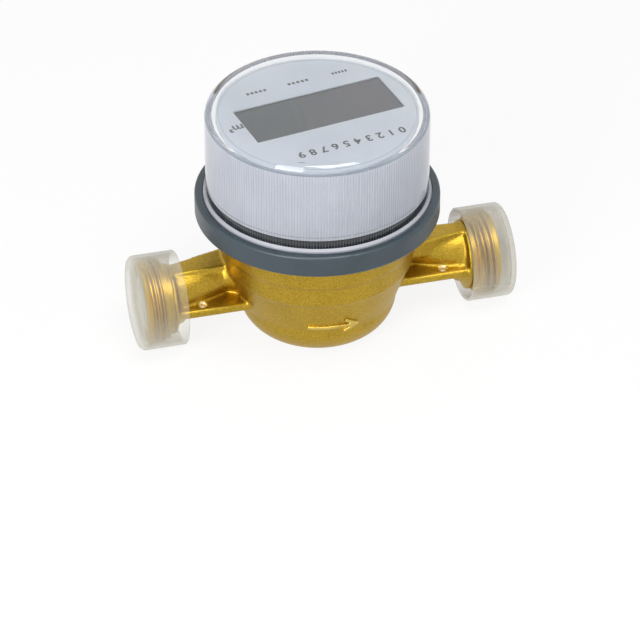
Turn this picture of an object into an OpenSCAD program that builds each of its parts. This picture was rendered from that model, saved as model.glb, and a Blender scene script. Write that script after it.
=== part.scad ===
// Single-jet water meter with a brass body, a turning electronic register and two thread caps.
// The foot of the bowl stands on Z = 0, the bowl axis is Z and water runs along +X.

/* [Body casting] */
// Length between the two pipe ends
body_len = 110; // [106:1:126]
// Height of the pipe axis above the foot
pipe_z = 15; // [14.6:0.1:17]
// Outside diameter of the pipe thread
thread_d = 26.44; // [24:0.02:26.6]
// Length of each threaded pipe end
thread_len = 7.2; // [6.4:0.2:8]
// Diameter of the collar behind each thread
collar_d = 21.4; // [20.2:0.2:22.6]
// Width of that collar
collar_w = 2.4; // [1.8:0.2:3]
// Radius of the fillet between a collar and its duct
collar_fillet = 3; // [2:0.2:4]
// Bore of each pipe end
bore_d = 16.4; // [15.6:0.2:18]
// Distance of a bore's bottom from the back of its collar
bore_step = 1.1; // [0.8:0.1:1.6]
// Radius of the bowl's rounded lower edge
foot_round = 11; // [8:0.5:12]
// Thickness of the bowl's floor
floor_t = 8; // [7:0.2:9]
// Wall around the measuring chamber
bowl_wall = 3.8; // [3.2:0.1:4.2]

/* [Ducts and webs] */
// Diameter of the jet passages
jet_d = 6; // [5.2:0.2:6.4]
// Plan angle of each jet where it enters the chamber
jet_angle = 18; // [8:1:22]
// Height of a duct's axis over the pipe axis at its collar
duct_lift = 2.5; // [2.1:0.1:2.9]
// Height of a jet's axis over the pipe axis at the chamber
jet_lift = 7.1; // [6.6:0.1:7.6]
// Radius of a duct at its collar
duct_r = 7.9; // [7.4:0.1:8.2]
// Radius of a duct at its waist
waist_r = 4.7; // [4.5:0.1:5.4]
// Radius of a duct's flare inside the bowl wall
flare_r = 8.8; // [8:0.1:9.4]
// Length of the flare in front of the bowl
flare_len = 5.6; // [4.6:0.2:7]
// Width of a duct's top rib at its collar
rib_w = 5.4; // [4.4:0.2:6]
// Reach of a top rib from the pipe axis at the bowl, on the side of its jet
rib_root_w = 8.4; // [7.4:0.2:9]
// Height of a top rib over the pipe axis at its collar
rib_lift = 10.4; // [10:0.1:10.7]
// Height of a top rib over the pipe axis at the bowl
rib_root_lift = 11.2; // [10.8:0.1:12]
// Width of the flat web along the pipe axis
web_w = 20.6; // [19:0.2:21]
// Thickness of that web
web_t = 2.8; // [2.4:0.1:3.4]
// Rounding of the web's edges
web_round = 1; // [0.6:0.1:1.1]
// Diameter of a seal wire hole
seal_hole_d = 2.2; // [1.6:0.1:2.6]
// Distance of a seal wire hole from the bowl axis
seal_x = 37.5; // [35:0.5:39]
// Distance of a seal wire hole from the pipe axis
seal_y = 7.4; // [6.8:0.1:7.8]

/* [Measuring chamber] */
// Diameter of the measuring chamber
chamber_d = 40.4; // [38.4:0.2:41]
// Height of the plate ledge over the pipe axis
ledge_lift = 18; // [17:0.2:20]
// Number of impeller vanes
vane_n = 8; // [6:1:10]
// Height of the impeller vanes
vane_h = 12.4; // [10:0.2:13]
// Thickness of an impeller vane
vane_t = 1.2; // [0.9:0.1:1.6]
// Gap between the vanes and the chamber wall
vane_gap = 1.8; // [1.2:0.1:2.4]
// Diameter of the impeller hub
hub_d = 8; // [7:0.2:9]
// Diameter of the pivot pin
pin_d = 1.8; // [1.4:0.1:2.2]
// Diameter of the drive magnet
magnet_d = 10.4; // [9:0.2:11]
// Height of the drive magnet
magnet_h = 5; // [4:0.2:5.6]
// Thickness of the separator plate
plate_t = 3; // [2.6:0.1:3.6]
// Wall of the separator plate's magnet cup
cup_wall = 1.6; // [1.2:0.1:2]
// Thickness of the plate clamp
clamp_t = 3; // [2.4:0.1:3.6]
// Height of the magnetic shield ring
shield_h = 5; // [4:0.2:6]

/* [Lock ring] */
// Wall of the lock ring
ring_wall = 1.1; // [0.9:0.1:1.6]
// Thickness of the ring's upper lip
ring_lip = 1.2; // [1:0.1:1.6]
// Thickness of the ring's lower lip
ring_foot = 1.5; // [1.2:0.1:2]
// Rounding of the ring's outer edges
ring_round = 0.8; // [0.4:0.1:0.9]

/* [Register] */
// Turn of the register against the pipe axis
register_turn = 10; // [-180:1:180]
// Room from the display's corners, or the cell's tabs, to the sleeve
display_room = 1.13; // [0.6:0.01:1.8]
// Height of the clear cover
cover_h = 32.4; // [31:0.1:38]
// Wall of the clear cover
cover_t = 2; // [1.6:0.1:2.4]
// Rounding of the clear cover's upper edge
cover_round = 3.4; // [2.6:0.1:3.6]
// Thickness of the cover's flange under the lock ring
flange_t = 1.4; // [1.2:0.1:1.8]
// Height of the cover's shoulder
shoulder_h = 3.6; // [3.4:0.1:4.4]
// Height of the register base's rim
base_h = 6.8; // [6:0.1:7.4]
// Thickness of the register base's floor
base_t = 2.4; // [2:0.1:2.8]
// Wall of the white register sleeve
sleeve_t = 1.6; // [1.2:0.1:1.8]
// Thickness of the dial plate
dial_t = 0.4; // [0.3:0.1:0.8]
// Gap between the dial plate and the cover's top
dial_gap = 1.6; // [1:0.1:2]
// Width of the display window
lcd_w = 47.6; // [42:0.2:47.8]
// Depth of the display window
lcd_d = 18.6; // [15:0.2:18.8]
// Sideways place of the display window
lcd_x = 1.2; // [-1:0.1:1.3]
// Place of the display window behind the register axis
lcd_y = 1.5; // [1:0.1:3]
// Thickness of the display panel
lcd_t = 2.4; // [2:0.1:2.8]
// Height of the contact strips under the display
strip_h = 2.5; // [2:0.1:3]
// Thickness of the circuit board
board_t = 1.6; // [1:0.1:2]
// Diameter of the battery cell
cell_d = 14.5; // [13:0.1:14.8]
// Length of the battery cell
cell_len = 50.5; // [44:0.5:51]

/* [Thread caps] */
// Wall of a thread cap
cap_wall = 0.9; // [0.7:0.05:1]
// Thickness of a thread cap's closed end
cap_end_t = 1.5; // [1.1:0.1:2]
// Inside depth of a thread cap
cap_depth = 12.4; // [11:0.2:13]
// Distance by which the outlet cap is backed off
cap_back = 2.3; // [0:0.1:3]

/* [Clearances] */
// Radial gap between a cap and its thread
cap_fit = 0.28; // [0.2:0.02:0.4]
// Gap between turning and fixed pieces of the register
turn_gap = 0.3; // [0.2:0.05:0.35]
// Gap under the register
seat_gap = 0.2; // [0.1:0.05:0.3]
// Gap between pieces that are put together
put_gap = 0.1; // [0.05:0.01:0.15]
// Radial gap of the impeller's bearings
run_fit = 0.06; // [0.03:0.01:0.1]

/* [Hidden] */
$fn = 96;

// Pipe ends
end_x = body_len / 2;
thread_r = thread_d / 2;
collar_r = collar_d / 2;
collar_x = end_x - thread_len;
collar_back_x = collar_x - collar_w;
bore_r = bore_d / 2;
bore_x = collar_back_x + bore_step;
bore_depth = end_x - bore_x;
jet_r = jet_d / 2;

// The register's radii follow its display and its cell, whichever reaches further
glass_edge = 0.9;
glass_w = lcd_w + 2 * glass_edge;
glass_d = lcd_d + 2 * glass_edge;
cell_y = 6.4;
tab_t = 0.4;
tab_w = 5;
lcd_reach = norm([glass_w / 2 + abs(lcd_x), glass_d / 2 + abs(lcd_y)]);
cell_reach = norm([cell_len / 2 + tab_t, cell_y + tab_w / 2]);
sleeve_in_r = max(lcd_reach, cell_reach) + display_room;
sleeve_r = sleeve_in_r + sleeve_t;
cover_in_r = sleeve_r + 3 * put_gap;
cover_r = cover_in_r + cover_t;

// Radii that follow the cover, from the outside in
shoulder_r = cover_r + 0.75;
flange_r = shoulder_r + 1.2;
cavity_r = flange_r + turn_gap;
ring_r = cavity_r + ring_wall;
rim_flange_r = flange_r - 2.2;
rim_r = rim_flange_r - 2.9;
spigot_bore_r = rim_r - 2.8;
plate_bore_r = spigot_bore_r - 2.2;
plate_r = plate_bore_r - turn_gap;
base_r = cover_in_r - 2 * put_gap;
spigot_r = spigot_bore_r - turn_gap;

// Bowl
chamber_r = chamber_d / 2;
bowl_r = chamber_r + bowl_wall;
ledge_z = pipe_z + ledge_lift;
clamp_z = ledge_z + plate_t;
spigot_z = clamp_z + clamp_t;
body_top = spigot_z + 4.6;
rim_flange_z = body_top - 2.3;
line_high_z = ledge_z - 2.4;
line_low_z = ledge_z - 9.2;
line_step = 0.5;

// Ducts
duct_out_x = collar_back_x + 0.4;
duct_in_x = chamber_r + 1.6;
duct_run = duct_out_x - duct_in_x;
duct_rise = jet_lift - duct_lift;
duct_tilt = atan2(duct_rise, duct_run);
duct_len = norm([duct_run, duct_rise]);
waist_x = bowl_r + flare_len;
waist_len = (duct_out_x - waist_x) / cos(duct_tilt);
waist_z = pipe_z + duct_lift + (duct_out_x - waist_x) * tan(duct_tilt);
web_z = pipe_z + 1.1 - web_t / 2;

// Impeller
pin_r = pin_d / 2;
hub_r = hub_d / 2;
vane_r = chamber_r - vane_gap;
vane_z = pipe_z + jet_lift - vane_h / 2;
hub_z = vane_z - 0.4;
hub_top = vane_z + vane_h + 1.4;
boss_top = floor_t + 5;
pin_z = floor_t + 0.8;
bush_r = pin_r + 1;
bush_h = 3;
pin_top = hub_z + 2;
spindle_r = 1;
spindle_z = hub_top - 3;
magnet_r = magnet_d / 2;
magnet_z = hub_top + put_gap;
cup_in_r = magnet_r + 1.2;
cup_r = cup_in_r + cup_wall;
cup_ceiling = magnet_z + magnet_h + 1.3;
cup_top = cup_ceiling + 2.6;
spindle_top = cup_ceiling + 1.2;

// Lock ring
ring_z = rim_flange_z - ring_foot;
ring_lip_z = body_top + seat_gap + flange_t + turn_gap;
ring_top = ring_lip_z + ring_lip;

// Register levels
reg_z = body_top + seat_gap;
floor_top = reg_z + base_t;
base_top = reg_z + base_h;
cover_top = reg_z + cover_h;
dial_z = cover_top - cover_t - dial_gap - dial_t;
lcd_z = dial_z - put_gap - lcd_t;
board_top = lcd_z - strip_h;
board_z = board_top - board_t;
board_r = sleeve_in_r - 0.5;
post_x = 20;
post_y = 17.2;
post_r = 2.2;
screw_r = 1.1;
head_r = 2;
cell_r = cell_d / 2;
cell_z = floor_top + 1.2 + cell_r;
seal_wire = 0.6;
chip_w = 10;
chip_t = 1.2;
radio_w = 14;
radio_d = 9;
radio_t = 2.2;
radio_edge = 4.55;
sensor_w = 12;
sensor_d = 9;
screw_len = 6;
head_h = 1.3;
base_rim = 2;
clamp_w = 4.5;
shield_gap = 3;
shield_t = 2;
seal_r = cover_in_r - seal_wire - put_gap / 2;

// Thread caps
cap_in_r = thread_r + cap_fit;
cap_r = cap_in_r + cap_wall;
cap_gap = 0.4;
cap_round = min(1.5, cap_end_t);

// The same shape at both pipe ends
module both_ends() {
    children();
    mirror([1, 0, 0]) children();
}

// A shape at the outlet end, and again half a turn on at the inlet end
module half_turn() {
    children();
    rotate([0, 0, 180]) children();
}

// A shape of the register, turned with it
module turned() {
    rotate([0, 0, register_turn]) children();
}

// Half profile of a band with rounded outer edges
module band_profile(r0, r1, z0, z1, q) {
    translate([r0, z0]) square([r1 - r0 - q, z1 - z0]);
    translate([r0, z0 + q]) square([r1 - r0, z1 - z0 - 2 * q]);
    translate([r1 - q, z0 + q]) circle(q);
    translate([r1 - q, z1 - q]) circle(q);
}

// Half profile of a disc whose upper edge is rounded
module disc_profile(r, z0, z1, q) {
    translate([0, z0]) square([r, z1 - z0 - q]);
    translate([0, z0]) square([r - q, z1 - z0]);
    translate([r - q, z1 - q]) circle(q);
}

// A plain ring
module tube(r0, r1, z0, z1) {
    rotate_extrude() translate([r0, z0]) square([r1 - r0, z1 - z0]);
}

// A shape that lies along a duct, from the collar inward
module along_duct() {
    translate([duct_out_x, 0, pipe_z + duct_lift]) rotate([0, duct_tilt - 90, 0]) children();
}

module bowl_solid() {
    rotate_extrude() {
        polygon([
            [0, 0],
            [bowl_r - foot_round, 0],
            [bowl_r, foot_round],
            [rim_r - 1.9, line_low_z - line_step],
            [rim_r - 1.4, line_low_z],
            [rim_r - 1.1, line_high_z - line_step],
            [rim_r - 0.5, line_high_z],
            [rim_r, line_high_z + 5],
            [rim_r, rim_flange_z],
            [rim_flange_r, rim_flange_z],
            [rim_flange_r, body_top],
            [0, body_top]
        ]);
        intersection() {
            translate([bowl_r - foot_round, foot_round]) circle(foot_round);
            square([bowl_r, foot_round]);
        }
    }
}

module duct_solid() {
    along_duct() rotate_extrude() polygon([
        [0, 0],
        [duct_r, 0],
        [waist_r, waist_len],
        [flare_r, duct_len],
        [0, duct_len]
    ]);
}

// The flat-topped rib over a duct: a side outline cut to a plan that widens along the jet
module rib_solid() {
    intersection() {
        rotate([90, 0, 0]) linear_extrude(height = 2 * rib_root_w + 2, center = true) polygon([
            [duct_out_x, pipe_z + duct_lift],
            [duct_out_x, pipe_z + rib_lift],
            [duct_in_x, pipe_z + rib_root_lift],
            [duct_in_x, pipe_z + jet_lift]
        ]);
        linear_extrude(height = ledge_z) polygon([
            [duct_in_x, -rib_root_w],
            [duct_out_x, -rib_w / 2],
            [duct_out_x, rib_w / 2],
            [duct_in_x, rib_w / 2 + 0.6]
        ]);
    }
}

// The flat web along the pipe axis, with rounded front and back edges
module web_solid() {
    flat_w = web_w - 2 * web_round;
    flat_t = web_t - 2 * web_round;
    translate([duct_in_x, 0, web_z]) rotate([90, 0, 90])
        linear_extrude(height = collar_back_x + 0.4 - duct_in_x) {
            square([flat_w, web_t], center = true);
            square([web_w, flat_t], center = true);
            for (y = [-flat_w / 2, flat_w / 2]) for (z = [-flat_t / 2, flat_t / 2])
                translate([y, z]) circle(web_round);
        }
}

// The casting's round shoulder behind a threaded end, with a fillet towards the duct
module shoulder_solid() {
    translate([0, 0, pipe_z]) rotate([0, 90, 0]) rotate_extrude() {
        translate([0, collar_back_x]) square([collar_r, bore_step + 0.6]);
        difference() {
            translate([0, collar_back_x - collar_fillet])
                square([collar_r, collar_fillet + bore_step / 2]);
            translate([collar_r, collar_back_x - collar_fillet]) circle(collar_fillet);
        }
    }
}

// A threaded end: a tube with the pipe's bore, a relief groove and two chamfers
module threaded_end() {
    lead = 1.1;
    color("#a5842b") translate([0, 0, pipe_z]) rotate([0, 90, 0]) rotate_extrude() polygon([
        [bore_r, bore_x],
        [collar_r, bore_x],
        [collar_r, collar_x],
        [thread_r - lead, collar_x],
        [thread_r, collar_x + lead],
        [thread_r, end_x - lead],
        [thread_r - lead, end_x],
        [bore_r, end_x]
    ]);
}

// One water passage: along the duct to its waist, then through a narrower jet off the centre line
module passage() {
    along_duct() translate([0, 0, -2]) cylinder(h = waist_len + 3.4, r = jet_r);
    translate([waist_x, 0, waist_z]) rotate([0, 0, jet_angle]) rotate([0, duct_tilt - 90, 0])
        cylinder(h = waist_x - chamber_r + 4, r = jet_r - 0.4);
}

module meter_body() {
    color("#a5842b") {
        difference() {
            union() {
                bowl_solid();
                both_ends() {
                    duct_solid();
                    web_solid();
                    shoulder_solid();
                }
                half_turn() rib_solid();
            }
            translate([0, 0, floor_t]) cylinder(h = ledge_z, r = chamber_r);
            translate([0, 0, ledge_z]) cylinder(h = ledge_z, r = plate_bore_r);
            translate([0, 0, spigot_z]) cylinder(h = ledge_z, r = spigot_bore_r);
            both_ends() {
                translate([seal_x, -seal_y, web_z - web_t])
                    cylinder(h = 2 * web_t, d = seal_hole_d);
                translate([bore_x, 0, pipe_z]) rotate([0, 90, 0]) cylinder(h = 20, r = thread_r + 2);
            }
            half_turn() passage();
        }
        difference() {
            translate([0, 0, floor_t - 1])
                cylinder(h = boss_top - floor_t + 1, r1 = hub_r + 1, r2 = hub_r - 1);
            translate([0, 0, pin_z]) cylinder(h = boss_top, r = pin_r);
        }
    }
}

module inlet_end() {
    mirror([1, 0, 0]) threaded_end();
}

module outlet_end() {
    threaded_end();
}

module inlet_strainer() {
    strainer_r = bore_r - put_gap;
    cup_len = bore_depth - 2.4;
    color("#e8e4d8") translate([-end_x + 0.6, 0, pipe_z]) rotate([0, 90, 0]) difference() {
        union() {
            cylinder(h = 1.4, r = strainer_r);
            cylinder(h = cup_len, r = strainer_r - 0.7);
        }
        translate([0, 0, -1]) cylinder(h = cup_len, r = strainer_r - 1.6);
        for (a = [0:30:359]) rotate([0, 0, a]) translate([strainer_r - 2.2, -0.6, 2])
            cube([2.2, 1.2, cup_len - 3.2]);
        for (a = [0:60:359]) rotate([0, 0, a]) translate([3.6, 0, 0]) cylinder(h = cup_len + 1, r = 0.9);
        cylinder(h = cup_len + 1, r = 0.9);
    }
}

module pivot_pin() {
    color("#c9ccd0") {
        translate([0, 0, pin_z]) cylinder(h = pin_top - pin_z - pin_r, r = pin_r);
        translate([0, 0, pin_top - pin_r]) cylinder(h = pin_r, r1 = pin_r, r2 = pin_r / 3);
    }
}

module separator_plate() {
    color("#d9d6cc") {
        difference() {
            union() {
                translate([0, 0, ledge_z]) cylinder(h = plate_t, r = plate_r);
                translate([0, 0, ledge_z]) cylinder(h = cup_top - ledge_z, r = cup_r);
            }
            translate([0, 0, ledge_z - 1]) cylinder(h = cup_ceiling - ledge_z + 1, r = cup_in_r);
            translate([0, 0, cup_ceiling - 1]) cylinder(h = 2.6, r = spindle_r + run_fit);
            rotate_extrude() translate([plate_r - 1.1, ledge_z + plate_t / 2 - 0.7]) square([2, 1.4]);
        }
        for (a = [0:60:359]) rotate([0, 0, a])
            translate([cup_r + 1, -0.6, ledge_z - 1.2]) cube([chamber_r - cup_r - 3, 1.2, 2]);
    }
}

module plate_seal() {
    color("#1c1d1f") rotate_extrude()
        translate([plate_r - 0.45, ledge_z + plate_t / 2]) circle(0.6);
}

module plate_clamp() {
    color("#b08d3a") tube(plate_r - clamp_w, plate_r, clamp_z, spigot_z);
}

module shield_ring() {
    color("#8e9297") tube(cup_r + shield_gap, cup_r + shield_gap + shield_t, clamp_z, clamp_z + shield_h);
}

module lock_ring() {
    color("#545c64") rotate_extrude() difference() {
        band_profile(rim_r + turn_gap, ring_r, ring_z, ring_top, ring_round);
        translate([rim_r, rim_flange_z]) square([cavity_r - rim_r, ring_lip_z - rim_flange_z]);
        translate([rim_r, ring_lip_z - 0.5]) square([shoulder_r + turn_gap - rim_r, ring_lip + 1]);
    }
}

module impeller_wheel() {
    color("#f1efe8") difference() {
        union() {
            translate([0, 0, hub_z]) cylinder(h = hub_top - hub_z, r = hub_r);
            translate([0, 0, vane_z]) linear_extrude(height = vane_h)
                for (i = [0:vane_n - 1]) rotate(i * 360 / vane_n)
                    translate([0, -vane_t / 2]) square([vane_r, vane_t]);
            translate([0, 0, vane_z + vane_h / 2]) cylinder(h = vane_t, r = vane_r - 6);
        }
        translate([0, 0, hub_z - 1]) cylinder(h = bush_h + 1, r = bush_r);
        translate([0, 0, spindle_z]) cylinder(h = 4, r = spindle_r);
    }
}

module impeller_spindle() {
    color("#c9ccd0") translate([0, 0, spindle_z]) cylinder(h = spindle_top - spindle_z, r = spindle_r);
}

module bearing_bush() {
    color("#a3304a") difference() {
        translate([0, 0, hub_z]) cylinder(h = bush_h, r = bush_r);
        translate([0, 0, hub_z - 1]) cylinder(h = pin_top - hub_z + 1.1, r = pin_r + run_fit);
    }
}

module drive_magnet() {
    color("#3c3d40") tube(spindle_r, magnet_r, magnet_z, magnet_z + magnet_h);
}

module register_base() {
    color("#1f2022") turned() {
        rotate_extrude() difference() {
            union() {
                translate([0, reg_z]) square([base_r, base_t]);
                translate([base_r - base_rim, reg_z]) square([base_rim, base_h]);
                translate([spigot_r - 1.8, spigot_z + turn_gap]) square([1.8, reg_z - spigot_z - turn_gap]);
            }
            translate([seal_r - seal_wire - put_gap, reg_z + base_t / 2 - seal_wire - put_gap])
                square([3, 2 * (seal_wire + put_gap)]);
        }
        for (x = [-post_x, post_x]) for (y = [-post_y, post_y]) translate([x, y, reg_z]) difference() {
            translate([0, 0, 1]) cylinder(h = board_z - reg_z - 1, r = post_r);
            translate([0, 0, board_z - reg_z - screw_len - 1]) cylinder(h = screw_len + 2, r = screw_r);
        }
        for (x = [-cell_len / 4, cell_len / 4]) difference() {
            translate([x - 1.5, cell_y - cell_r + 1, floor_top - 1]) cube([3, cell_d - 2, 5]);
            translate([0, cell_y, cell_z]) rotate([0, 90, 0])
                cylinder(h = cell_len, r = cell_r, center = true);
        }
    }
}

module register_seal() {
    color("#121314") rotate_extrude() translate([seal_r, reg_z + base_t / 2]) circle(seal_wire);
}

module register_sleeve() {
    color("#e6e7ec") tube(sleeve_in_r, sleeve_r, base_top, dial_z);
}

module circuit_board() {
    color("#2f6b45") turned() difference() {
        translate([0, 0, board_z]) cylinder(h = board_t, r = board_r);
        for (x = [-post_x, post_x]) for (y = [-post_y, post_y]) translate([x, y, board_z - 1])
            cylinder(h = board_t + 2, r = screw_r + put_gap);
    }
}

module board_screws() {
    color("#b9bcc0") turned() for (x = [-post_x, post_x]) for (y = [-post_y, post_y]) translate([x, y, 0]) {
        translate([0, 0, board_top]) cylinder(h = head_h, r = head_r);
        translate([0, 0, board_z - screw_len]) cylinder(h = board_t + screw_len, r = screw_r);
    }
}

module controller_chip() {
    color("#26282b") turned() translate([lcd_x - chip_w / 2, lcd_y - chip_w / 2, board_top])
        cube([chip_w, chip_w, chip_t]);
}

module radio_module() {
    color("#c4c7ca") turned() translate([-radio_d / 2, radio_edge - board_r, board_top])
        cube([radio_w, radio_d, radio_t]);
}

// A strip aerial along the board's edge, on two feet
module radio_antenna() {
    wire_w = 0.8;
    loop_r = board_r - 2;
    color("#c98a4a") turned() rotate([0, 0, 200]) {
        rotate_extrude(angle = 60) translate([loop_r, board_top + 1.6]) square(wire_w);
        for (a = [1, 57]) rotate([0, 0, a]) rotate_extrude(angle = 2)
            translate([loop_r + wire_w / 4, board_top]) square([wire_w / 2, 2]);
    }
}

module flow_sensor() {
    color("#2c5f86") turned() {
        translate([-sensor_w / 2, 1.6 - sensor_d, floor_top]) cube([sensor_w, sensor_d, chip_t]);
        for (x = [-3.2, 3.2]) translate([x - 1.5, -3, floor_top + chip_t]) cube([3, 1.6, 1]);
    }
}

module battery_cell() {
    color("#7f9b58") turned() translate([-cell_len / 2, cell_y, cell_z]) rotate([0, 90, 0])
        cylinder(h = cell_len, r = cell_r);
}

// Two strips from the cell's ends up to the board
module battery_tabs() {
    color("#c9ccd0") turned() for (s = [-1, 1])
        translate([s * (cell_len / 2 + tab_t / 2) - tab_t / 2, cell_y - tab_w / 2, cell_z - 3])
            cube([tab_t, tab_w, board_z - cell_z + 3]);
}

module contact_strips() {
    color("#4a4d52") turned() for (s = [-1, 1])
        translate([lcd_x - glass_w / 2 + 3, lcd_y + s * (glass_d / 2 - 2.4) - 0.9, board_top])
            cube([glass_w - 6, 1.8, strip_h]);
}

module display_frame() {
    color("#d5d6da") turned() translate([lcd_x, lcd_y, board_top]) difference() {
        translate([-glass_w / 2, -glass_d / 2, 0]) cube([glass_w, glass_d, strip_h]);
        translate([1.2 - glass_w / 2, 1.2 - glass_d / 2, -1])
            cube([glass_w - 2.4, glass_d - 2.4, strip_h + 2]);
    }
}

module display_panel() {
    color("#858a8e") turned() translate([lcd_x - glass_w / 2, lcd_y - glass_d / 2, lcd_z])
        cube([glass_w, glass_d, lcd_t]);
}

module dial_plate() {
    color("#dfe4ea") turned() difference() {
        translate([0, 0, dial_z]) cylinder(h = dial_t, r = sleeve_r - 0.6);
        translate([lcd_x - lcd_w / 2, lcd_y - lcd_d / 2, dial_z - 1]) cube([lcd_w, lcd_d, dial_t + 2]);
    }
}

module clear_cover() {
    color("#e9eef2", 0.35) rotate_extrude() difference() {
        union() {
            disc_profile(cover_r, reg_z, cover_top, cover_round);
            translate([0, reg_z]) square([shoulder_r, shoulder_h]);
            translate([0, reg_z]) square([flange_r, flange_t]);
        }
        translate([0, -cover_t]) disc_profile(cover_in_r, reg_z, cover_top, cover_round - cover_t);
    }
}

// A cup that closes one pipe end, its closed side at the given distance from the bowl axis
module thread_cap(x) {
    translate([x, 0, pipe_z]) rotate([0, 90, 0]) rotate_extrude() difference() {
        disc_profile(cap_r, -cap_depth, cap_end_t, cap_round);
        translate([0, -cap_depth - 1]) square([cap_in_r, cap_depth + 1]);
    }
}

module inlet_cap() {
    color("#d8d7d0", 0.6) mirror([1, 0, 0]) thread_cap(end_x + cap_gap);
}

module outlet_cap() {
    color("#d8d7d0", 0.6) thread_cap(end_x + cap_gap + cap_back);
}

meter_body();
inlet_end();
outlet_end();
inlet_strainer();
pivot_pin();
separator_plate();
plate_seal();
plate_clamp();
shield_ring();
lock_ring();
impeller_wheel();
impeller_spindle();
bearing_bush();
drive_magnet();
register_base();
register_seal();
register_sleeve();
circuit_board();
board_screws();
controller_chip();
radio_module();
radio_antenna();
flow_sensor();
battery_cell();
battery_tabs();
contact_strips();
display_frame();
display_panel();
dial_plate();
clear_cover();
inlet_cap();
outlet_cap();
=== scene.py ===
import math

import bmesh
import bpy
from mathutils import Matrix, Vector


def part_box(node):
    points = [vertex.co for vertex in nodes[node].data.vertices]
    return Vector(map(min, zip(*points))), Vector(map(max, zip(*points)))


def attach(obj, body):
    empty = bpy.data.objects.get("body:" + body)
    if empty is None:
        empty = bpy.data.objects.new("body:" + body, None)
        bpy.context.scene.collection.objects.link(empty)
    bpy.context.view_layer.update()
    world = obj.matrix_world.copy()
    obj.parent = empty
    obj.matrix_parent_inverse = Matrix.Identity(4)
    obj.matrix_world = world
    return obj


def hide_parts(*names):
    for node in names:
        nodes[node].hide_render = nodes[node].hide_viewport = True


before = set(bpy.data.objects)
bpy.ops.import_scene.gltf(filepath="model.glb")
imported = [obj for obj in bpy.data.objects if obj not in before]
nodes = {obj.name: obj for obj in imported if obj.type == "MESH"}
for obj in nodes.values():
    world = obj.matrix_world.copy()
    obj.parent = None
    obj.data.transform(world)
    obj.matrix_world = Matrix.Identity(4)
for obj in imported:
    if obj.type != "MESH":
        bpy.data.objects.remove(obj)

mm = 0.001
weldM = 1e-7                                  # points nearer than this are one point
pipeZ = 15.0                                  # height of the pipe axis, mm
registerTurn = math.radians(10)               # the register sits a little turned on the body
scene = bpy.context.scene
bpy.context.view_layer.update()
print("frame:", len(nodes), "nodes")


# Camera at the photograph's viewing angle
view = {"elevation": 33.92, "turn": 14.83, "away": 1.2, "aim": (0, 0, 0.035), "sensorMm": 36, "clipM": 50,
        "focalPx": 3991.0, "imagePx": 640, "centrePx": (317.3, 221.3)}

elevation = math.radians(view["elevation"])
turn = math.radians(view["turn"])
right = Vector((math.cos(turn), -math.sin(turn), 0))
ahead = Vector((math.sin(turn), math.cos(turn), 0))
forward = ahead * math.cos(elevation) - Vector((0, 0, math.sin(elevation)))
upward = ahead * math.sin(elevation) + Vector((0, 0, math.cos(elevation)))
camera = bpy.data.objects.new("camera", bpy.data.cameras.new("camera"))
scene.collection.objects.link(camera)
place = Matrix((right, upward, -forward)).transposed().to_4x4()
place.translation = Vector(view["aim"]) - forward * view["away"]
camera.matrix_world = place
camera.data.sensor_width = view["sensorMm"]
camera.data.lens = view["focalPx"] / view["imagePx"] * view["sensorMm"]
camera.data.clip_end = view["clipM"]
camera.data.shift_x = 0.5 - view["centrePx"][0] / view["imagePx"]
camera.data.shift_y = view["centrePx"][1] / view["imagePx"] - 0.5
scene.camera = camera
scene.view_settings.view_transform = "Standard"
print("camera set")


# Materials
pattern = {"patchDetail": 3.0, "grainDetail": 2.0, "toneRange": (0.36, 0.64), "grainRange": (0.3, 0.7)}
film = {"grainsPerPatch": 8, "bumpMm": 0.0015, "facingBlend": 0.5}
glassToneM = 0.04                             # the display's tone turns over this far, both ways


def linear(hexColour):                        # sRGB hex to the linear colour that a shader takes
    parts = [int(hexColour[i:i + 2], 16) / 255 for i in (1, 3, 5)]
    return [c / 12.92 if c <= 0.04045 else ((c + 0.055) / 1.055) ** 2.4 for c in parts] + [1.0]


def addNode(mat, kind, inputs=None, **settings):   # a node with its settings, its values and its links
    node = mat.node_tree.nodes.new("ShaderNode" + kind)
    for key, value in settings.items():
        setattr(node, key, value)
    for key, value in (inputs or {}).items():
        if isinstance(value, bpy.types.NodeSocket):
            mat.node_tree.links.new(value, node.inputs[key])
        else:
            node.inputs[key].default_value = value
    return node


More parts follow.
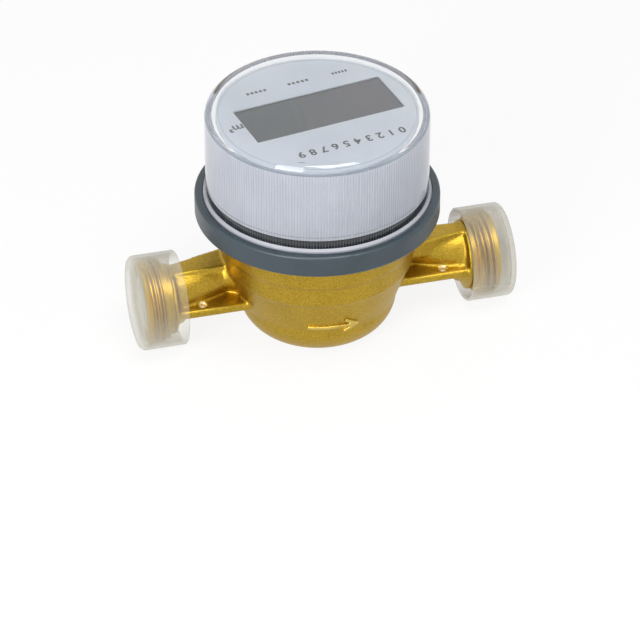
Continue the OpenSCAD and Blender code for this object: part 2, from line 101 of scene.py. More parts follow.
def makeFinish(name, dark, light, patchMm, grainMm, rough, bumpMm, stretch=(1, 1, 1), grainShare=0.3,
               **values):
    mat = bpy.data.materials.new(name)
    mat.use_nodes = True
    shader = mat.node_tree.nodes["Principled BSDF"]
    for key, value in values.items():         # what is the same all over goes on the shader itself
        shader.inputs[key.replace("_", " ")].default_value = value
    objectCo = addNode(mat, "TexCoord").outputs["Object"]
    co = addNode(mat, "Mapping", {"Vector": objectCo, "Scale": stretch}).outputs["Vector"]
    patch = addNode(mat, "TexNoise", {"Vector": co, "Scale": 1000 / patchMm,
                                      "Detail": pattern["patchDetail"]})
    grain = addNode(mat, "TexNoise", {"Vector": co, "Scale": 1000 / grainMm,
                                      "Detail": pattern["grainDetail"]})
    share = addNode(mat, "Math", {0: grain.outputs["Fac"], 1: grainShare}, operation="MULTIPLY")
    tone = addNode(mat, "Math", {0: patch.outputs["Fac"], 1: 1 - grainShare, 2: share.outputs[0]},
                   operation="MULTIPLY_ADD")
    ramp = addNode(mat, "ValToRGB", {"Fac": tone.outputs[0]})
    for element, at, colour in zip(ramp.color_ramp.elements, pattern["toneRange"], (dark, light)):
        element.position = at
        element.color = linear(colour)
    least, most = pattern["grainRange"]
    spread = addNode(mat, "MapRange", {"Value": grain.outputs["Fac"], "From Min": least, "From Max": most,
                                       "To Min": rough[0], "To Max": rough[1]})
    bump = addNode(mat, "Bump", {"Height": grain.outputs["Fac"], "Distance": bumpMm * mm, "Strength": 1.0})
    for key, socket in (("Base Color", ramp.outputs["Color"]), ("Roughness", spread.outputs["Result"]),
                        ("Normal", bump.outputs["Normal"])):
        mat.node_tree.links.new(socket, shader.inputs[key])
    return mat


finishes = {
    # sand-cast brass, shot blasted: satin, mottled, with the sand's grain
    "castBrass": makeFinish("castBrass", "#a08329", "#bf9f3b", 9, 0.5, (0.36, 0.48), 0.08, grainShare=0.78,
                            Metallic=1.0),
    # drilled brass: bright, fresh metal
    "drilledBrass": makeFinish("drilledBrass", "#e8d09a", "#f6e6bd", 2, 0.3, (0.25, 0.35), 0.004,
                               Metallic=1.0),
    # the raised flow arrow: brass lightened as a painted highlight
    "highlightBrass": makeFinish("highlightBrass", "#bda044", "#d8bc60", 4, 0.4, (0.32, 0.44), 0.03, Metallic=1.0),
    # turned brass: brighter, with fine rings left by the tool
    "turnedBrass": makeFinish("turnedBrass", "#a98725", "#cdaa3e", 3, 0.3, (0.38, 0.5), 0.006,
                              (1, 0.04, 0.04), Metallic=1.0),
    # moulded ABS, blue grey, lightly textured
    "greyAbs": makeFinish("greyAbs", "#2c3940", "#36434b", 12, 0.5, (0.34, 0.44), 0.006, IOR=1.53),
    # moulded white ABS behind the clear wall
    "whiteAbs": makeFinish("whiteAbs", "#d2d4dd", "#dbdce4", 15, 0.6, (0.4, 0.5), 0.004, IOR=1.53),
    # the same, darker: painted shade on one face of every flute
    "fluteAbs": makeFinish("fluteAbs", "#c0c3ce", "#cacdd7", 15, 0.6, (0.4, 0.5), 0.004, IOR=1.53),
    # the same where it lies in shade
    "shadedAbs": makeFinish("shadedAbs", "#959da9", "#a2aab5", 15, 0.6, (0.4, 0.5), 0.004, IOR=1.53),
    # black ABS tray
    "blackAbs": makeFinish("blackAbs", "#141517", "#1d1e20", 10, 0.5, (0.35, 0.45), 0.005, IOR=1.53),
    # the same where the flutes catch the light
    "litAbs": makeFinish("litAbs", "#484d54", "#565b62", 10, 0.5, (0.35, 0.45), 0.005, IOR=1.53),
    # printed polycarbonate card: even, matt, a little blue
    "dialCard": makeFinish("dialCard", "#c0c6ce", "#c7cdd5", 20, 0.4, (0.45, 0.55), 0.002, IOR=1.58),
    # screen ink: dark grey and matt
    "dialInk": makeFinish("dialInk", "#17181b", "#1f2124", 4, 0.2, (0.5, 0.6), 0.001, IOR=1.5),
    # acetal: waxy white
    "acetal": makeFinish("acetal", "#e2e0d8", "#ecebe4", 10, 0.5, (0.35, 0.45), 0.003, IOR=1.48),
    # glass-filled plastic, dark, with pale fibre flecks
    "filledPlastic": makeFinish("filledPlastic", "#2b2f35", "#3b4047", 4, 0.35, (0.4, 0.55), 0.01, IOR=1.53),
    # nitrile rubber: near black and matt
    "nitrile": makeFinish("nitrile", "#101112", "#1a1b1c", 6, 0.3, (0.6, 0.75), 0.008, IOR=1.52),
    # ground stainless steel
    "stainless": makeFinish("stainless", "#a9adb2", "#c3c6ca", 5, 0.25, (0.25, 0.38), 0.004, Metallic=1.0),
    # soft iron ring, nickel plated
    "platedIron": makeFinish("platedIron", "#8f9296", "#a9abad", 6, 0.3, (0.35, 0.48), 0.005, Metallic=1.0),
    # sintered ferrite: charcoal grey and grainy
    "ferrite": makeFinish("ferrite", "#2c2d30", "#404144", 2, 0.25, (0.5, 0.65), 0.01, IOR=1.6),
    # synthetic sapphire bush, pink
    "sapphire": makeFinish("sapphire", "#c8415a", "#e0607a", 3, 0.4, (0.08, 0.14), 0.001, IOR=1.77),
    # solder mask over glass fibre board: green, faintly mottled
    "solderMask": makeFinish("solderMask", "#215a38", "#2f6f48", 5, 0.6, (0.3, 0.42), 0.006, IOR=1.55),
    # epoxy moulded chip
    "moulding": makeFinish("moulding", "#1c1d1f", "#28292c", 3, 0.2, (0.45, 0.6), 0.006, IOR=1.55),
    # tinned steel can
    "tinnedSteel": makeFinish("tinnedSteel", "#b4b7b9", "#cbcdcf", 4, 0.3, (0.3, 0.42), 0.004, Metallic=1.0),
    # bare copper strip
    "copper": makeFinish("copper", "#b06a3c", "#c98452", 3, 0.25, (0.25, 0.38), 0.004, Metallic=1.0),
    # shrink sleeve on the cell: plain green film
    "shrinkFilm": makeFinish("shrinkFilm", "#6f8b4b", "#7f9c5a", 8, 0.5, (0.22, 0.32), 0.004, IOR=1.5),
    # conductive rubber strips
    "zebraRubber": makeFinish("zebraRubber", "#3e4146", "#55585d", 1.2, 0.25, (0.55, 0.7), 0.004, IOR=1.5),
}


def lookThrough(name, tint, haze, patchMm, rough, cloud=None, **values):   # clear or milky plastic
    grainMm = patchMm / film["grainsPerPatch"]
    mat = makeFinish(name, haze, tint, patchMm, grainMm, rough, film["bumpMm"], **values)
    if cloud:                                 # milky film: thin seen square on, thick seen edge on
        facing = addNode(mat, "LayerWeight", {"Blend": film["facingBlend"]}).outputs["Facing"]
        thick = addNode(mat, "MapRange", {"Value": facing, "To Min": cloud[0], "To Max": cloud[1]})
        shader = mat.node_tree.nodes["Principled BSDF"]
        mat.node_tree.links.new(thick.outputs["Result"], shader.inputs["Alpha"])
    return mat


# acrylic: clear, polished, edges catch the light
finishes["acrylic"] = lookThrough("acrylic", "#fbfcfd", "#f6f8fa", 30, (0.015, 0.03),
                                  IOR=1.49, Transmission_Weight=1.0)
# natural polyethylene: milky, waxy, what lies behind shows softly
finishes["polyethylene"] = lookThrough("polyethylene", "#d2d0c3", "#c8c5b6", 6, (0.3, 0.4), (0.09, 0.66),
                                       IOR=1.45)
# the cover's flange is left matt by the mould: frosted acrylic
finishes["frostedAcrylic"] = lookThrough("frostedAcrylic", "#d3d5de", "#c8cbd5", 8, (0.4, 0.5),
                                         IOR=1.49, Transmission_Weight=0.35)

# liquid crystal glass at rest: grey, darker and greener at one end, lighter and warmer at the other
displayGlass = makeFinish("displayGlass", "#222d30", "#3b393f", 34, 0.4, (0.16, 0.22), 0.001, IOR=1.52)
alongGlass = addNode(displayGlass, "SeparateXYZ", {0: addNode(displayGlass, "TexCoord").outputs["Object"]})
across = addNode(displayGlass, "MapRange", {"Value": alongGlass.outputs["X"], "From Min": -glassToneM,
                                            "From Max": glassToneM})
ramp = next(node for node in displayGlass.node_tree.nodes if node.type == "VALTORGB")
displayGlass.node_tree.links.new(across.outputs["Result"], ramp.inputs["Fac"])
finishes["displayGlass"] = displayGlass

nodeFinish = {
    "inlet_strainer": "acetal", "pivot_pin": "stainless", "separator_plate": "filledPlastic",
    "plate_seal": "nitrile", "plate_clamp": "turnedBrass", "shield_ring": "platedIron",
    "lock_ring": "greyAbs", "impeller_wheel": "acetal", "impeller_spindle": "stainless",
    "bearing_bush": "sapphire", "drive_magnet": "ferrite", "register_base": "blackAbs",
    "register_seal": "nitrile", "register_sleeve": "whiteAbs", "circuit_board": "solderMask",
    "board_screws": "stainless", "controller_chip": "moulding", "radio_module": "tinnedSteel",
    "radio_antenna": "copper", "flow_sensor": "solderMask", "battery_cell": "shrinkFilm",
    "battery_tabs": "stainless", "contact_strips": "zebraRubber", "display_frame": "whiteAbs",
    "display_panel": "displayGlass", "dial_plate": "dialCard",
    "meter_body": "castBrass", "inlet_end": "turnedBrass", "outlet_end": "turnedBrass",
    "clear_cover": "acrylic", "inlet_cap": "polyethylene", "outlet_cap": "polyethylene"}
for node, finish in nodeFinish.items():
    nodes[node].data.materials.clear()
    nodes[node].data.materials.append(finishes[finish])
print("materials:", len(finishes))


# Tools that the pieces share
def asPiece(name, bm, body, finish, replaced=(), sharpDeg=32):
    mesh = bpy.data.meshes.new(name)
    bm.to_mesh(mesh)
    bm.free()
    mesh.materials.append(finishes[finish])
    mesh.shade_smooth()
    mesh.set_sharp_from_angle(angle=math.radians(sharpDeg))
    piece = bpy.data.objects.new(name, mesh)
    scene.collection.objects.link(piece)
    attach(piece, body)
    if replaced:
        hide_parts(*replaced)
    print(name, len(mesh.polygons), "faces")
    return piece


def arc(along, radius, r, start, end, count):          # points of a round corner, degrees
    angles = [math.radians(start + (end - start) * i / count) for i in range(count + 1)]
    return [(along + r * math.sin(a), radius + r * math.cos(a)) for a in angles]


def lathe(bm, outline, alongX, steps, closed):         # spin an outline of (along, radius) in mm
    if alongX:
        verts = [bm.verts.new((a * mm, 0, (pipeZ + r) * mm)) for a, r in outline]
    else:
        verts = [bm.verts.new((r * mm, 0, a * mm)) for a, r in outline]
    pairs = list(zip(verts, verts[1:])) + ([(verts[-1], verts[0])] if closed else [])
    edges = [bm.edges.new(pair) for pair in pairs]
    bmesh.ops.spin(bm, geom=verts + edges, cent=(0, 0, pipeZ * mm if alongX else 0),
                   axis=(1, 0, 0) if alongX else (0, 0, 1), angle=2 * math.pi, steps=steps, use_merge=True)
    bmesh.ops.remove_doubles(bm, verts=bm.verts, dist=weldM)
    bmesh.ops.recalc_face_normals(bm, faces=bm.faces)


def turnHalfWay(bm):                          # the inlet side is the outlet side turned half way round
    bmesh.ops.rotate(bm, verts=bm.verts, cent=(0, 0, 0), matrix=Matrix.Rotation(math.pi, 3, "Z"))


def applied(bm, kind, **settings):            # a mesh with one modifier worked into it
    mesh = bpy.data.meshes.new("draft")
    bm.to_mesh(mesh)
    bm.free()
    draft = bpy.data.objects.new("draft", mesh)
    scene.collection.objects.link(draft)
    modifier = draft.modifiers.new("draft", kind)
    for key, value in settings.items():
        setattr(modifier, key, value)
    result = bmesh.new()
    result.from_mesh(draft.evaluated_get(bpy.context.evaluated_depsgraph_get()).to_mesh())
    bpy.data.objects.remove(draft)
    return result


def castSkin(bm, voxelMm, rounds):            # one skin over a shape, with the soft corners of a casting
    bm = applied(bm, "REMESH", mode="VOXEL", voxel_size=voxelMm * mm)
    for i in range(rounds):
        bmesh.ops.smooth_vert(bm, verts=bm.verts, factor=0.5, use_axis_x=True, use_axis_y=True,
                              use_axis_z=True)
    return bm


# Flow arrow: raised on the bowl, built first because it is laid on the CAD body
arrow = {"x": (-8.6, 5.6), "z": 13.6, "strokeMm": 1.1, "headMm": 3.4, "headSpread": 0.7, "raisedMm": 0.6,
         "sunkMm": 1.0, "segments": (16, 2), "aimFromM": -0.06, "voxelMm": 0.18, "smoothRounds": 3,
         "keep": 0.6}


def addStroke(bm, start, end, width):         # one bar of the arrow, bent round the bowl
    segments = arrow["segments"]
    made = bmesh.ops.create_grid(bm, x_segments=segments[0], y_segments=segments[1], size=0.5)["verts"]
    faces = list(dict.fromkeys(f for v in made for f in v.link_faces))
    block = bmesh.ops.extrude_face_region(bm, geom=faces)["geom"]
    raised = [v for v in block if isinstance(v, bmesh.types.BMVert)]
    bmesh.ops.translate(bm, verts=raised, vec=(0, 0, 1))
    verts = list(dict.fromkeys([v for f in faces for v in f.verts] + raised))
    run, rise = end[0] - start[0], end[1] - start[1]
    length = math.hypot(run, rise) + width
    tilt = math.atan2(rise, run)
    for v in verts:
        a, b = v.co.x * length, v.co.y * width
        x = (start[0] + end[0]) / 2 + a * math.cos(tilt) - b * math.sin(tilt)
        z = (start[1] + end[1]) / 2 + a * math.sin(tilt) + b * math.cos(tilt)
        hit = nodes["meter_body"].ray_cast((x * mm, arrow["aimFromM"], z * mm), (0, 1, 0))
        spot, normal = hit[1], hit[2]
        v.co = spot + normal * mm * (arrow["raisedMm"] if v.co.z > 0.5 else -arrow["sunkMm"])
    bmesh.ops.recalc_face_normals(bm, faces=list(dict.fromkeys(f for v in verts for f in v.link_faces)))


bm = bmesh.new()
tail, tip = arrow["x"]
level, head = arrow["z"], arrow["headMm"]
addStroke(bm, (tail, level), (tip, level), arrow["strokeMm"])
for side in (-1, 1):
    addStroke(bm, (tip - head, level + side * head * arrow["headSpread"]), (tip, level), arrow["strokeMm"])
bm = applied(castSkin(bm, arrow["voxelMm"], arrow["smoothRounds"]), "DECIMATE", ratio=arrow["keep"])
# the arrow is lighter than the body: painted highlight
asPiece("flowArrow", bm, "meter", "highlightBrass", sharpDeg=180)


# Cast body: the casting with its soft sand-cast corners and two cast lines
casting = {"weldM": 1e-6, "voxelMm": 0.45, "smoothRounds": 2, "keep": 0.62,
           "lines": {"bowlR": 24.5, "nearMm": 1.5, "lineZ": (30.6, 23.8), "lineMm": 0.55, "deepMm": 0.75,
                     "fromY": 9.5},
           "sealHoles": ((37.5, 7.4), 1.35), "webZ": (13.0, 16.3), "uprightBelow": 0.9}


def cutLines(bm, bowlR, nearMm, lineZ, lineMm, deepMm, fromY):   # lines round the bowl, clear of the ducts
    for v in bm.verts:
        r = math.hypot(v.co.x, v.co.y) / mm
        off = min(abs(v.co.z / mm - z) for z in lineZ)
        if off < lineMm and abs(r - bowlR) < nearMm and abs(v.co.y) > fromY * mm:
            scale = 1 - deepMm * (1 - off / lineMm) / r
            v.co.x, v.co.y = v.co.x * scale, v.co.y * scale


bm = bmesh.new()
bm.from_mesh(nodes["meter_body"].data)
bmesh.ops.remove_doubles(bm, verts=bm.verts, dist=casting["weldM"])
bm = castSkin(bm, casting["voxelMm"], casting["smoothRounds"])
cutLines(bm, **casting["lines"])
bm = applied(bm, "DECIMATE", ratio=casting["keep"])
body = asPiece("castBody", bm, "meter", "castBrass", ["meter_body"], sharpDeg=180)
body.data.materials.append(finishes["drilledBrass"])
(holeX, holeY), holeR = casting["sealHoles"]
webLow, webHigh = casting["webZ"]
for face in body.data.polygons:               # the seal wire holes are drilled, so they shine
    spot = face.center / mm
    inHole = math.hypot(abs(spot.x) - holeX, spot.y + holeY) < holeR and webLow < spot.z < webHigh
    if inHole and abs(face.normal.z) < casting["uprightBelow"]:
        face.material_index = 1


# Threaded ends: a turned tube with a real thread on it
threads = {"rootR": 12.05, "crestR": 13.2, "boreR": 8.2, "collarR": 10.7, "backX": 46.5, "collarX": 47.8,
           "endX": 55.0, "bevelMm": 0.3, "endBevelMm": 0.5, "tubeSteps": 96, "pitchMm": 1.814, "turns": 3,
           "firstX": 48.75, "stepsPerTurn": 72, "rootGapMm": 0.14, "crestHalfMm": 0.16, "sunkMm": 0.12,
           "lead": 0.1, "runOut": 0.35}


def threadedEnd(name, side, node):
    t = threads
    bevel, endBevel = t["bevelMm"], t["endBevelMm"]
    bm = bmesh.new()
    lathe(bm, [(t["backX"], t["boreR"]), (t["backX"], t["collarR"]), (t["collarX"], t["collarR"]),
               (t["collarX"] + bevel, t["rootR"]), (t["endX"] - endBevel, t["rootR"]),
               (t["endX"], t["rootR"] - endBevel), (t["endX"], t["boreR"] + bevel),
               (t["endX"] - bevel, t["boreR"])], True, t["tubeSteps"], True)
    low = t["rootR"] - t["sunkMm"]
    half, crest = t["pitchMm"] / 2 - t["rootGapMm"], t["crestHalfMm"]
    corners = [(-half, low), (-crest, t["crestR"]), (crest, t["crestR"]), (half, low)]
    verts = [bm.verts.new(((t["firstX"] + a) * mm, 0, (pipeZ + r) * mm)) for a, r in corners]
    edges = [bm.edges.new((verts[i], verts[(i + 1) % 4])) for i in range(4)]
    tube = set(bm.verts) - set(verts)
    bmesh.ops.spin(bm, geom=verts + edges, cent=(0, 0, pipeZ * mm), axis=(1, 0, 0),
                   dvec=(t["pitchMm"] * mm / t["stepsPerTurn"], 0, 0), angle=2 * math.pi * t["turns"],
                   steps=t["stepsPerTurn"] * t["turns"])
    ridge = [v for v in bm.verts if v not in tube]
    bmesh.ops.holes_fill(bm, edges=[e for e in bm.edges if e.is_boundary], sides=4)
    for v in ridge:                           # the thread runs out to nothing at both ends
        y, z = v.co.y, v.co.z - pipeZ * mm
        r = math.hypot(y, z) / mm
        done = (v.co.x / mm - t["firstX"]) / t["pitchMm"]
        fade = max(0.0, min(1.0, min(done + t["lead"], t["turns"] - done + t["lead"]) / t["runOut"]))
        scale = (low + (r - low) * fade) / r
        v.co.y, v.co.z = y * scale, pipeZ * mm + z * scale
    if side < 0:
        turnHalfWay(bm)
    bmesh.ops.recalc_face_normals(bm, faces=bm.faces)
    asPiece(name, bm, "meter", "turnedBrass", [node], sharpDeg=30)


threadedEnd("inletThread", -1, "inlet_end")
threadedEnd("outletThread", 1, "outlet_end")


# Clear cover: a polished cup that is moulded tight round the sleeve
cover = {"outerR": 33.45, "innerR": 30.8, "bottom": 43.8, "top": 76.2, "roundMm": 3.4, "wallMm": 2.0,
         "shoulderR": 34.2, "shoulderTop": 47.4, "flangeR": 35.4, "flangeTop": 45.2, "bevelMm": 0.3,
         "faceRingMm": 4, "arcSteps": (12, 6), "steps": 256, "mattUpMm": 0.2, "mattOutMm": 0.02}

c = cover
bevel = c["bevelMm"]
innerTop, innerRound = c["top"] - c["wallMm"], c["roundMm"] - c["wallMm"]
outerFlat, innerFlat = c["outerR"] - c["roundMm"], c["innerR"] - innerRound
outline = [(c["top"], 0), (c["top"], outerFlat - c["faceRingMm"])]
outline += [(a, r) for r, a in arc(outerFlat, c["top"] - c["roundMm"], c["roundMm"], 0, 90, c["arcSteps"][0])]
outline += [(c["shoulderTop"] + bevel, c["outerR"]), (c["shoulderTop"], c["outerR"] + bevel),
            (c["shoulderTop"], c["shoulderR"] - bevel), (c["shoulderTop"] - bevel, c["shoulderR"]),
            (c["flangeTop"], c["shoulderR"]), (c["flangeTop"], c["flangeR"]), (c["bottom"], c["flangeR"]),
            (c["bottom"], c["innerR"])]
outline += [(a, r) for r, a in arc(innerFlat, innerTop - innerRound, innerRound, 90, 0, c["arcSteps"][1])]
outline += [(innerTop, innerFlat - c["faceRingMm"]), (innerTop, 0)]
bm = bmesh.new()
lathe(bm, outline, False, c["steps"], False)
clear = asPiece("clearCover", bm, "register", "acrylic", ["clear_cover"], sharpDeg=20)
clear.data.materials.append(finishes["frostedAcrylic"])
for face in clear.data.polygons:              # the flange and its shoulder are matt
    r, z = math.hypot(face.center.x, face.center.y) / mm, face.center.z / mm
    if z < c["shoulderTop"] + c["mattUpMm"] and r > c["outerR"] + c["mattOutMm"]:
        face.material_index = 1


# Sleeve and foot: fine upright flutes run all the way round
fluted = {"count": 232, "deepMm": 0.18, "wallShare": 0.8, "nearMm": 0.005, "sleeveInR": 29.55,
          "footR": (31.27, 31.42), "footSunkMm": 1, "shadeLineMm": 0.4, "skirtMm": 1.0, "footLineMm": 0.5}


def flutedTube(name, innerR, outerR, levels, finish, slotName, replaced):
    bm = bmesh.new()
    outline = [(levels[0], innerR)] + [(z, outerR) for z in levels] + [(levels[-1], innerR)]
    lathe(bm, outline, False, fluted["count"] * 2, True)
    groove = min(fluted["deepMm"], (outerR - innerR) * fluted["wallShare"])
    scale = (outerR - groove) / outerR
    for v in bm.verts:                        # every second line of the outside is cut in
        r = math.hypot(v.co.x, v.co.y) / mm
        step = round(math.atan2(v.co.y, v.co.x) / (math.pi / fluted["count"]))
        if step % 2 and abs(r - outerR) < fluted["nearMm"]:
            v.co.x, v.co.y = v.co.x * scale, v.co.y * scale
    return asPiece(name, bm, "register", finish, replaced, sharpDeg=10)


def paintBands(piece, bands):                 # from below: a band's top and its flutes' two finishes
    for finish in sorted({name for top, sides in bands for name in sides}):
        if finish not in piece.data.materials:
            piece.data.materials.append(finishes[finish])
    for face in piece.data.polygons:
        side = math.floor(math.atan2(face.center.y, face.center.x) / (math.pi / fluted["count"])) % 2
        sides = next((s for top, s in bands if face.center.z / mm < top), bands[-1][1])
        face.material_index = piece.data.materials.find(sides[side])


f = fluted
low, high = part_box("register_sleeve")
sleeveBottom, sleeveTop = low.z / mm, high.z / mm
# the sleeve's top band, up to where it meets the dial, is painted shade in grey-blue
shadeLine = sleeveTop - f["shadeLineMm"]
skirt = sleeveBottom - f["skirtMm"]
footLine = skirt - f["footLineMm"]
footBottom = c["shoulderTop"] - f["footSunkMm"]
sleeve = flutedTube("flutedSleeve", f["sleeveInR"], high.x / mm, (sleeveBottom, shadeLine, sleeveTop),
                    "whiteAbs", "white_plastic", ["register_sleeve"])
# every second flute face is the darker white: painted shade
paintBands(sleeve, ((shadeLine, ("whiteAbs", "fluteAbs")), (sleeveTop, ("shadedAbs", "shadedAbs"))))
foot = flutedTube("flutedFoot", *f["footR"], (footBottom, footLine, skirt, sleeveBottom),
                  "blackAbs", "black_plastic", ())
# on the foot's lowest band every second flute face is painted light
paintBands(foot, ((footLine, ("litAbs", "blackAbs")), (skirt, ("blackAbs", "blackAbs")),
                  (sleeveBottom, ("whiteAbs", "fluteAbs"))))


# Thread caps: thin moulded cups with a broken inner thread
caps = {"outerR": 14.4, "innerR": 13.5, "endMm": 1.5, "roundMm": 1.5, "depthMm": 12.4, "rimRound": 0.3,
        "cornerMm": 0.5, "faceRingMm": 3, "wallRingMm": 4, "endRingR": 4, "arcSteps": 8, "steps": 120,
        "ridges": (2.6, 4.6, 6.6), "ridgeBackMm": 0.4, "ridgeMm": (0.2, 0.35, 0.55), "ridgeR": 13.3,
        "splitDeg": 200, "breakDeg": 9, "ribDeg": 1.4, "breakMm": 0.02, "nearMm": 0.01}


def threadCap(name, side, innerEnd, node):    # innerEnd: from the middle to the closed end's inner face
    k = caps
    rim, outerEnd = innerEnd - k["depthMm"], innerEnd + k["endMm"]
    flat = k["outerR"] - k["roundMm"]
    outline = [(outerEnd, 0), (outerEnd, flat - k["faceRingMm"])]
    outline += arc(outerEnd - k["roundMm"], flat, k["roundMm"], 90, 0, k["arcSteps"])
    outline += [(rim + k["wallRingMm"], k["outerR"]), (rim + k["rimRound"], k["outerR"]),
                (rim, k["outerR"] - k["rimRound"]), (rim, k["innerR"] + k["rimRound"]),
                (rim + k["rimRound"], k["innerR"])]
    up, down, end = k["ridgeMm"]
    for back in reversed(k["ridges"]):
        x = innerEnd - back - k["ridgeBackMm"]
        outline += [(x, k["innerR"]), (x + up, k["ridgeR"]), (x + down, k["ridgeR"]), (x + end, k["innerR"])]
    outline += [(innerEnd - k["cornerMm"], k["innerR"]), (innerEnd, k["innerR"] - k["cornerMm"]),
                (innerEnd, k["endRingR"]), (innerEnd, 0)]
    bm = bmesh.new()
    lathe(bm, outline, True, k["steps"], False)
    for v in bm.verts:                        # the mould parts on two lines: a rib, and no thread
        y, z = v.co.y / mm, v.co.z / mm - pipeZ
        r = math.hypot(y, z)
        fromLine = (math.degrees(math.atan2(z, y)) - k["splitDeg"]) % 180
        off = min(fromLine, 180 - fromLine)
        if abs(r - k["ridgeR"]) < k["nearMm"] and off < k["breakDeg"]:
            r = k["innerR"] - k["breakMm"]
        if off < k["ribDeg"] and k["ridgeR"] < r < k["innerR"] + k["nearMm"]:
            r = k["ridgeR"]
        scale = r / max(math.hypot(y, z), 1e-9)
        v.co.y, v.co.z = y * scale * mm, (pipeZ + z * scale) * mm
    if side < 0:
        turnHalfWay(bm)
    asPiece(name, bm, node, "polyethylene", [node], sharpDeg=30)


threadCap("inletThreadCap", -1, 55.4, "inlet_cap")
threadCap("outletThreadCap", 1, 57.7, "outlet_cap")


# Dial print: a unit, a plain scale and three short marks, read from the back of the meter; the line round the
# edge is painted shade
printed = {"topZ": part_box("dial_plate")[1].z / mm, "thickMm": 0.03, "boldMm": 0.1, "curveSteps": 4,
           "unitAt": (-25.3, 2.2), "unitMm": 4.7, "scaleX": (-13.8, 18.6), "scaleY": -18.9, "numberMm": 4.2,
           "numbers": 10, "marks": ((-15, -8.1), (-1.5, 5.7), (13, 18.3)), "markY": 17.8, "markHalfMm": 0.55,
           "markCount": 5, "markShare": 0.62, "edgeR": (29.4, 29.6), "edgeSteps": 192, "shadeFromR": 29.3}


def addWords(bm, words, sizeMm, at):          # centred text as a thin mesh on the dial
    curve = bpy.data.curves.new("words", "FONT")
    curve.body, curve.size, curve.extrude = words, sizeMm * mm, printed["thickMm"] / 2 * mm
    curve.offset = printed["boldMm"] * mm
    curve.align_x, curve.align_y, curve.resolution_u = "CENTER", "CENTER", printed["curveSteps"]
    holder = bpy.data.objects.new("words", curve)
    scene.collection.objects.link(holder)
    mesh = bpy.data.meshes.new_from_object(holder.evaluated_get(bpy.context.evaluated_depsgraph_get()))
    mesh.transform(Matrix.Translation((at[0] * mm, at[1] * mm, 0)) @ Matrix.Rotation(math.pi, 4, "Z"))
    bm.from_mesh(mesh)
    bpy.data.objects.remove(holder)


def addBar(bm, x0, x1, y0, y1):               # a printed bar
    made = bmesh.ops.create_cube(bm, size=1)["verts"]
    bmesh.ops.scale(bm, verts=made, vec=((x1 - x0) * mm, (y1 - y0) * mm, printed["thickMm"] * mm))
    bmesh.ops.translate(bm, verts=made, vec=((x0 + x1) / 2 * mm, (y0 + y1) / 2 * mm, 0))


p = printed
halfThick = p["thickMm"] / 2
edgeIn, edgeOut = p["edgeR"]
bm = bmesh.new()
lathe(bm, [(-halfThick, edgeIn), (halfThick, edgeIn), (halfThick, edgeOut), (-halfThick, edgeOut)], False,
      p["edgeSteps"], True)
addWords(bm, "m³", p["unitMm"], p["unitAt"])
for i in range(p["numbers"]):                 # numbers run from the right, because they read from the back
    x = p["scaleX"][1] + (p["scaleX"][0] - p["scaleX"][1]) * i / (p["numbers"] - 1)
    addWords(bm, str(i), p["numberMm"], (x, p["scaleY"]))
for x0, x1 in p["marks"]:
    for i in range(p["markCount"]):
        left = x0 + (x1 - x0) * i / p["markCount"]
        addBar(bm, left, left + (x1 - x0) / p["markCount"] * p["markShare"], p["markY"] - p["markHalfMm"],
               p["markY"] + p["markHalfMm"])
bmesh.ops.translate(bm, verts=bm.verts, vec=(0, 0, (p["topZ"] + halfThick) * mm))
bmesh.ops.rotate(bm, verts=bm.verts, cent=(0, 0, 0), matrix=Matrix.Rotation(registerTurn, 3, "Z"))
dialPrintAndShade = asPiece("dialPrintAndShade", bm, "register", "dialInk")
dialPrintAndShade.data.materials.append(finishes["shadedAbs"])
for face in dialPrintAndShade.data.polygons:          # the ring round the edge is painted shade, in pale grey-blue
    if math.hypot(face.center.x, face.center.y) / mm > p["shadeFromR"]:
        face.material_index = 1


# Floor, lamps and world
studio = {"floorM": 6.0, "key": ((0.1, -0.36, 0.98), 0.5, 6.0), "left": ((-0.66, -0.72, 0.52), 0.5, 8.5),
          "lampAim": (0, 0, 0.04), "fill": 0.27, "floorWhite": 0.88}

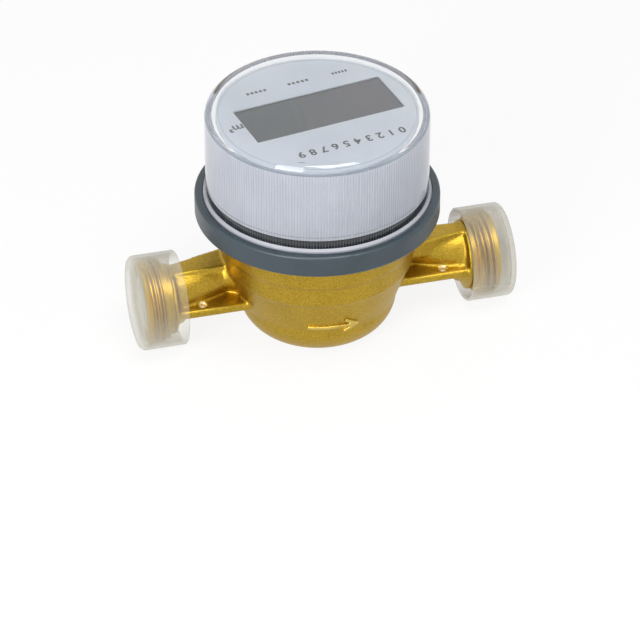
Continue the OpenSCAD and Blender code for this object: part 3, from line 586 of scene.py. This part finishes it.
bm = bmesh.new()
bmesh.ops.create_grid(bm, x_segments=1, y_segments=1, size=studio["floorM"] / 2)
floorMesh = bpy.data.meshes.new("floor")
bm.to_mesh(floorMesh)
bm.free()
floor = bpy.data.objects.new("floor", floorMesh)
scene.collection.objects.link(floor)


def seenDirectly(tree):                       # 1 for what the eye, a mirror or clear plastic looks at
    path = addNode(tree, "LightPath")
    seen = addNode(tree, "Math", {0: path.outputs["Is Camera Ray"], 1: path.outputs["Is Glossy Ray"]},
                   operation="MAXIMUM")
    return addNode(tree, "Math", {0: seen.outputs[0], 1: path.outputs["Is Transmission Ray"]},
                   operation="MAXIMUM").outputs[0]


paper = bpy.data.materials.new("paperSweep")  # matt white paper: bright to the eye, keeps a faint shadow
paper.use_nodes = True
paper.node_tree.nodes.clear()
matt = addNode(paper, "BsdfDiffuse", {"Color": linear("#f4f4f4")})
bright = addNode(paper, "Emission", {"Color": (1, 1, 1, 1), "Strength": 1.0})
whiteShare = addNode(paper, "Math", {0: seenDirectly(paper), 1: studio["floorWhite"]}, operation="MULTIPLY")
mixed = addNode(paper, "MixShader", {0: whiteShare.outputs[0], 1: matt.outputs[0], 2: bright.outputs[0]})
addNode(paper, "OutputMaterial", {"Surface": mixed.outputs[0]})
floorMesh.materials.append(paper)

world = bpy.data.worlds.new("studio")
scene.world = world
world.use_nodes = True
world.node_tree.nodes.clear()
dim = addNode(world, "Background", {"Color": (1, 1, 1, 1), "Strength": studio["fill"]})
white = addNode(world, "Background", {"Color": (1, 1, 1, 1), "Strength": 1.0})
mixed = addNode(world, "MixShader", {0: seenDirectly(world), 1: dim.outputs[0], 2: white.outputs[0]})
addNode(world, "OutputWorld", {"Surface": mixed.outputs[0]})

for name in ("key", "left"):
    at, size, power = studio[name]
    lamp = bpy.data.objects.new(name, bpy.data.lights.new(name, "AREA"))
    lamp.data.size, lamp.data.energy = size, power
    lamp.matrix_world = (Vector(studio["lampAim"]) - Vector(at)).to_track_quat("-Z", "Y").to_matrix().to_4x4()
    lamp.matrix_world.translation = at
    scene.collection.objects.link(lamp)
print("studio set")
